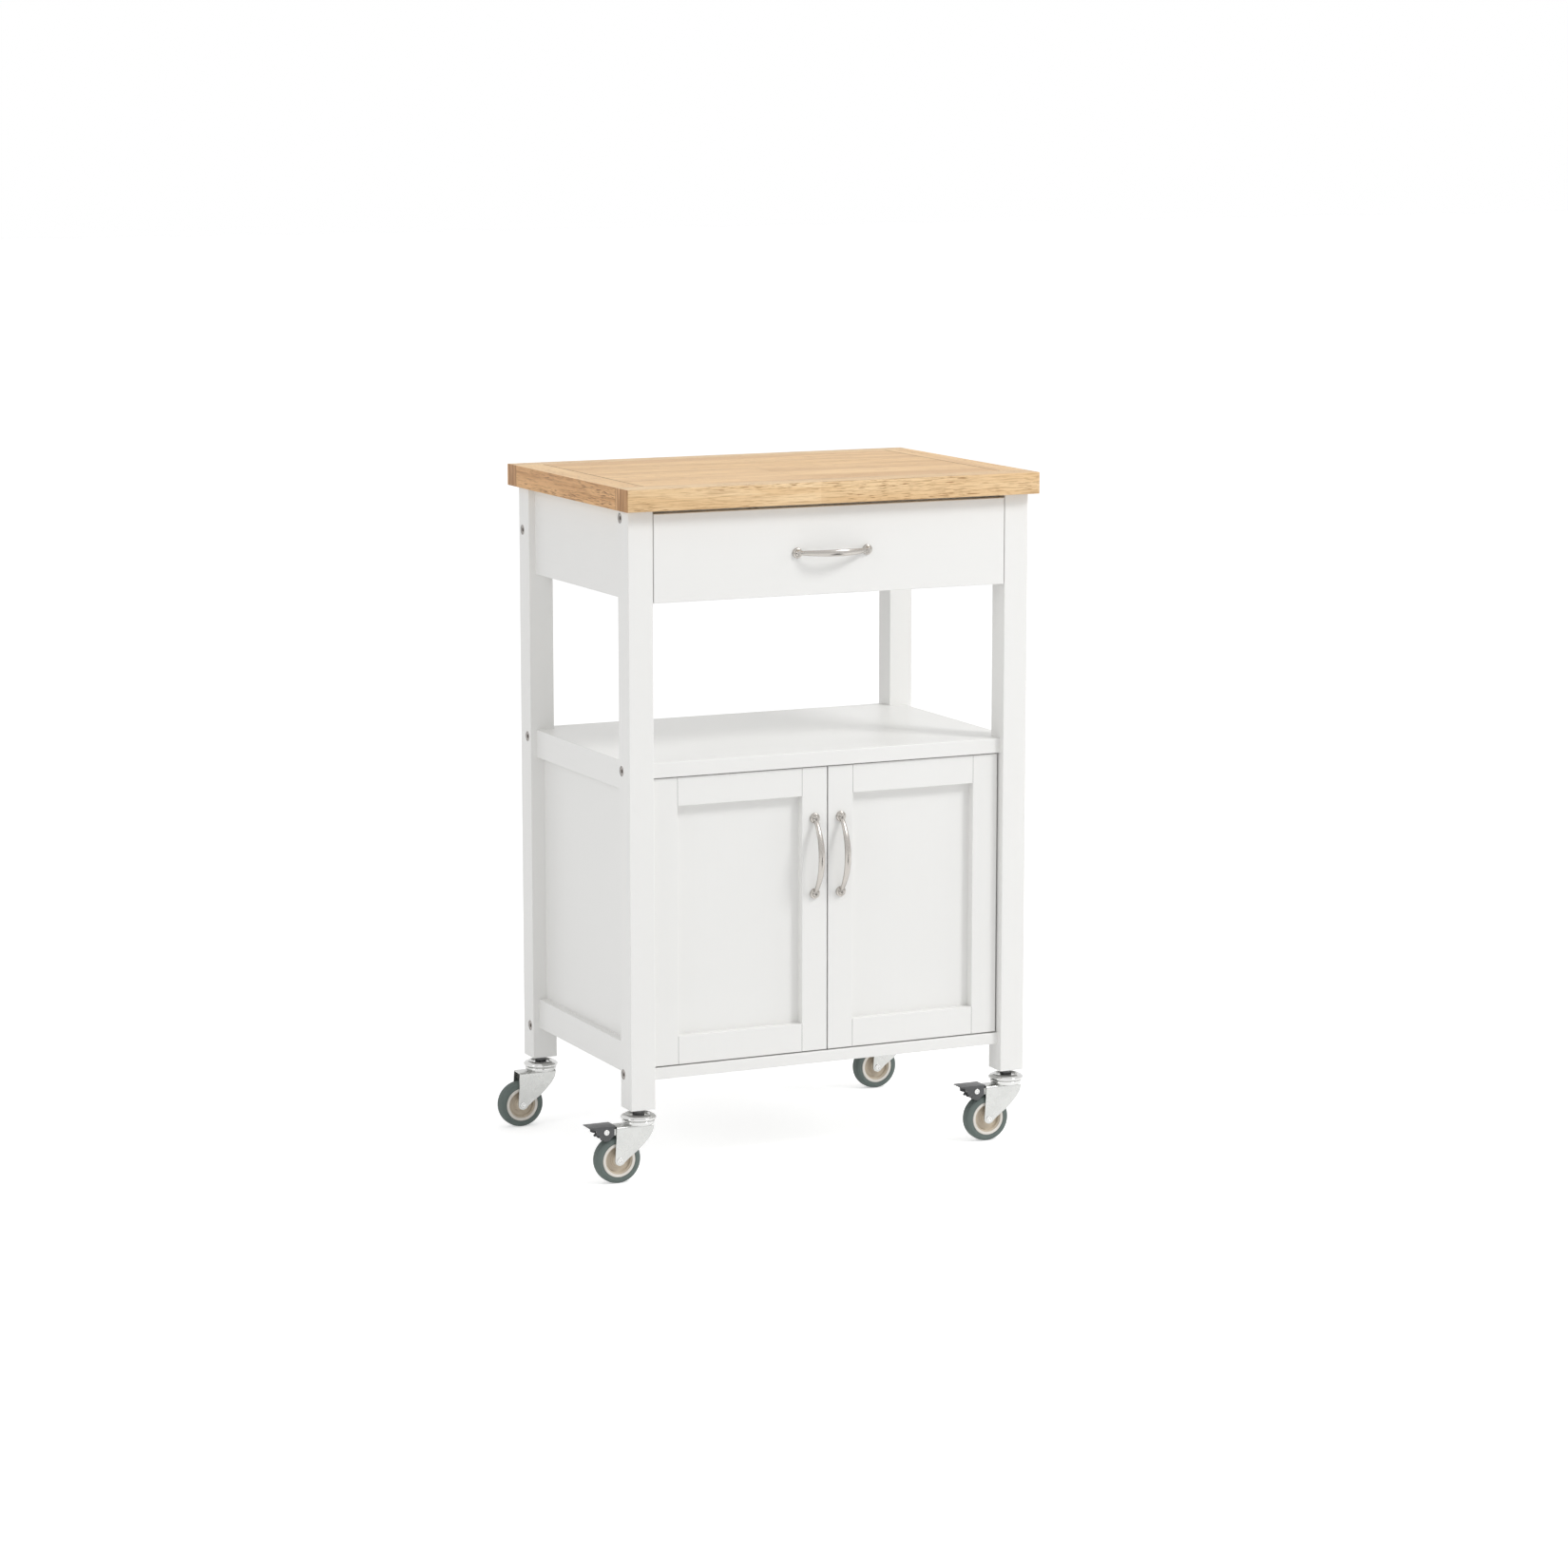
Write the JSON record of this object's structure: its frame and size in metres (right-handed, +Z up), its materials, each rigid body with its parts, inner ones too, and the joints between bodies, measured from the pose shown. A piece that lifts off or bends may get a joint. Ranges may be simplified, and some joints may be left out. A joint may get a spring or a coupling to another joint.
{
  "type": "microwave cart",
  "caption": "White kitchen cart with an oiled wood worktop, a drawer, an open appliance bay, a cupboard with two framed doors, bow handles and swivel casters with brakes.",
  "frame": {"origin": "bottom centre of the whole cart's bounding box, on the floor, casters trailing to -X", "axes": "+Z up, -Y out of the drawer and doors, +X to the right seen from the front"},
  "size_m": [0.649, 0.427, 0.92],
  "materials": {
    "oiled_wood": "satin oil",
    "plain_wood": "bare",
    "drawer_board": "satin paint",
    "white_paint": "satin paint",
    "zinc_steel": "zinc plated",
    "hinge_steel": "nickel plated",
    "brushed_nickel": "brushed",
    "caster_chrome": "bright",
    "grey_tread": "matte",
    "cream_plastic": "satin",
    "dark_plastic": "matte"
  },
  "bodies": {
    "frame": {"worktop_panel": "oiled_wood", "worktop_front_strip": "oiled_wood", "worktop_back_strip": "oiled_wood", "worktop_left_end": "oiled_wood", "worktop_right_end": "oiled_wood", "front_left_leg": "white_paint", "front_right_leg": "white_paint", "back_left_leg": "white_paint", "back_right_leg": "white_paint", "side_aprons": "white_paint", "back_apron": "white_paint", "top_front_rail": "white_paint", "worktop_cleats": "plain_wood", "shelf_board": "white_paint", "floor_board": "white_paint", "shelf_rails": "white_paint", "lower_rails": "white_paint", "left_side_panel": "white_paint", "right_side_panel": "white_paint", "back_panel": "white_paint", "frame_bolts": "zinc_steel", "barrel_nuts": "zinc_steel", "frame_dowels": "plain_wood", "worktop_screws": "zinc_steel", "drawer_runners": "plain_wood", "hinge_arms": "hinge_steel", "hinge_plates": "hinge_steel", "caster_stems": "caster_chrome"},
    "drawer": {"drawer_front": "white_paint", "drawer_sides": "drawer_board", "drawer_back": "drawer_board", "drawer_bottom": "drawer_board", "drawer_handle": "brushed_nickel"},
    "left_door": {"left_door_frame": "white_paint", "left_door_panel": "white_paint", "left_door_handle": "brushed_nickel", "left_hinge_cups": "hinge_steel"},
    "right_door": {"right_door_frame": "white_paint", "right_door_panel": "white_paint", "right_door_handle": "brushed_nickel", "right_hinge_cups": "hinge_steel"},
    "front_left_swivel": {"front_left_fork": "caster_chrome", "front_left_axle": "caster_chrome"},
    "front_left_wheel": {"front_left_tyre": "grey_tread", "front_left_hub": "cream_plastic"},
    "front_left_pedal": {"front_left_brake_pedal": "dark_plastic"},
    "front_right_swivel": {"front_right_fork": "caster_chrome", "front_right_axle": "caster_chrome"},
    "front_right_wheel": {"front_right_tyre": "grey_tread", "front_right_hub": "cream_plastic"},
    "front_right_pedal": {"front_right_brake_pedal": "dark_plastic"},
    "back_left_swivel": {"back_left_fork": "caster_chrome", "back_left_axle": "caster_chrome"},
    "back_left_wheel": {"back_left_tyre": "grey_tread", "back_left_hub": "cream_plastic"},
    "back_right_swivel": {"back_right_fork": "caster_chrome", "back_right_axle": "caster_chrome"},
    "back_right_wheel": {"back_right_tyre": "grey_tread", "back_right_hub": "cream_plastic"}
  },
  "joints": [
    {"name": "drawer_slide", "type": "slide", "parent": "frame", "child": "drawer", "axis": [0, -1, 0], "range_m": [0, 0.28]},
    {"name": "left_door_hinge", "type": "hinge", "parent": "frame", "child": "left_door", "pos_m": [-0.2092, -0.167, 0.3445], "axis": [0, 0, -1], "range_deg": [0, 95]},
    {"name": "right_door_hinge", "type": "hinge", "parent": "frame", "child": "right_door", "pos_m": [0.2582, -0.167, 0.3445], "axis": [0, 0, 1], "range_deg": [0, 95]},
    {"name": "front_left_caster_swivel", "type": "hinge", "parent": "frame", "child": "front_left_swivel", "pos_m": [-0.25, -0.171, 0.0845], "axis": [0, 0, 1], "continuous": true},
    {"name": "front_left_wheel_spin", "type": "hinge", "parent": "front_left_swivel", "child": "front_left_wheel", "pos_m": [-0.2815, -0.171, 0.03175], "axis": [0, 1, 0], "continuous": true},
    {"name": "front_left_brake", "type": "hinge", "parent": "front_left_swivel", "child": "front_left_pedal", "pos_m": [-0.301, -0.171, 0.07225], "axis": [0, -1, 0], "range_deg": [0, 15]},
    {"name": "front_right_caster_swivel", "type": "hinge", "parent": "frame", "child": "front_right_swivel", "pos_m": [0.299, -0.171, 0.0845], "axis": [0, 0, 1], "continuous": true},
    {"name": "front_right_wheel_spin", "type": "hinge", "parent": "front_right_swivel", "child": "front_right_wheel", "pos_m": [0.2675, -0.171, 0.03175], "axis": [0, 1, 0], "continuous": true},
    {"name": "front_right_brake", "type": "hinge", "parent": "front_right_swivel", "child": "front_right_pedal", "pos_m": [0.248, -0.171, 0.07225], "axis": [0, -1, 0], "range_deg": [0, 15]},
    {"name": "back_left_caster_swivel", "type": "hinge", "parent": "frame", "child": "back_left_swivel", "pos_m": [-0.25, 0.174, 0.0845], "axis": [0, 0, 1], "continuous": true},
    {"name": "back_left_wheel_spin", "type": "hinge", "parent": "back_left_swivel", "child": "back_left_wheel", "pos_m": [-0.2815, 0.174, 0.03175], "axis": [0, 1, 0], "continuous": true},
    {"name": "back_right_caster_swivel", "type": "hinge", "parent": "frame", "child": "back_right_swivel", "pos_m": [0.299, 0.174, 0.0845], "axis": [0, 0, 1], "continuous": true},
    {"name": "back_right_wheel_spin", "type": "hinge", "parent": "back_right_swivel", "child": "back_right_wheel", "pos_m": [0.2675, 0.174, 0.03175], "axis": [0, 1, 0], "continuous": true}
  ]
}
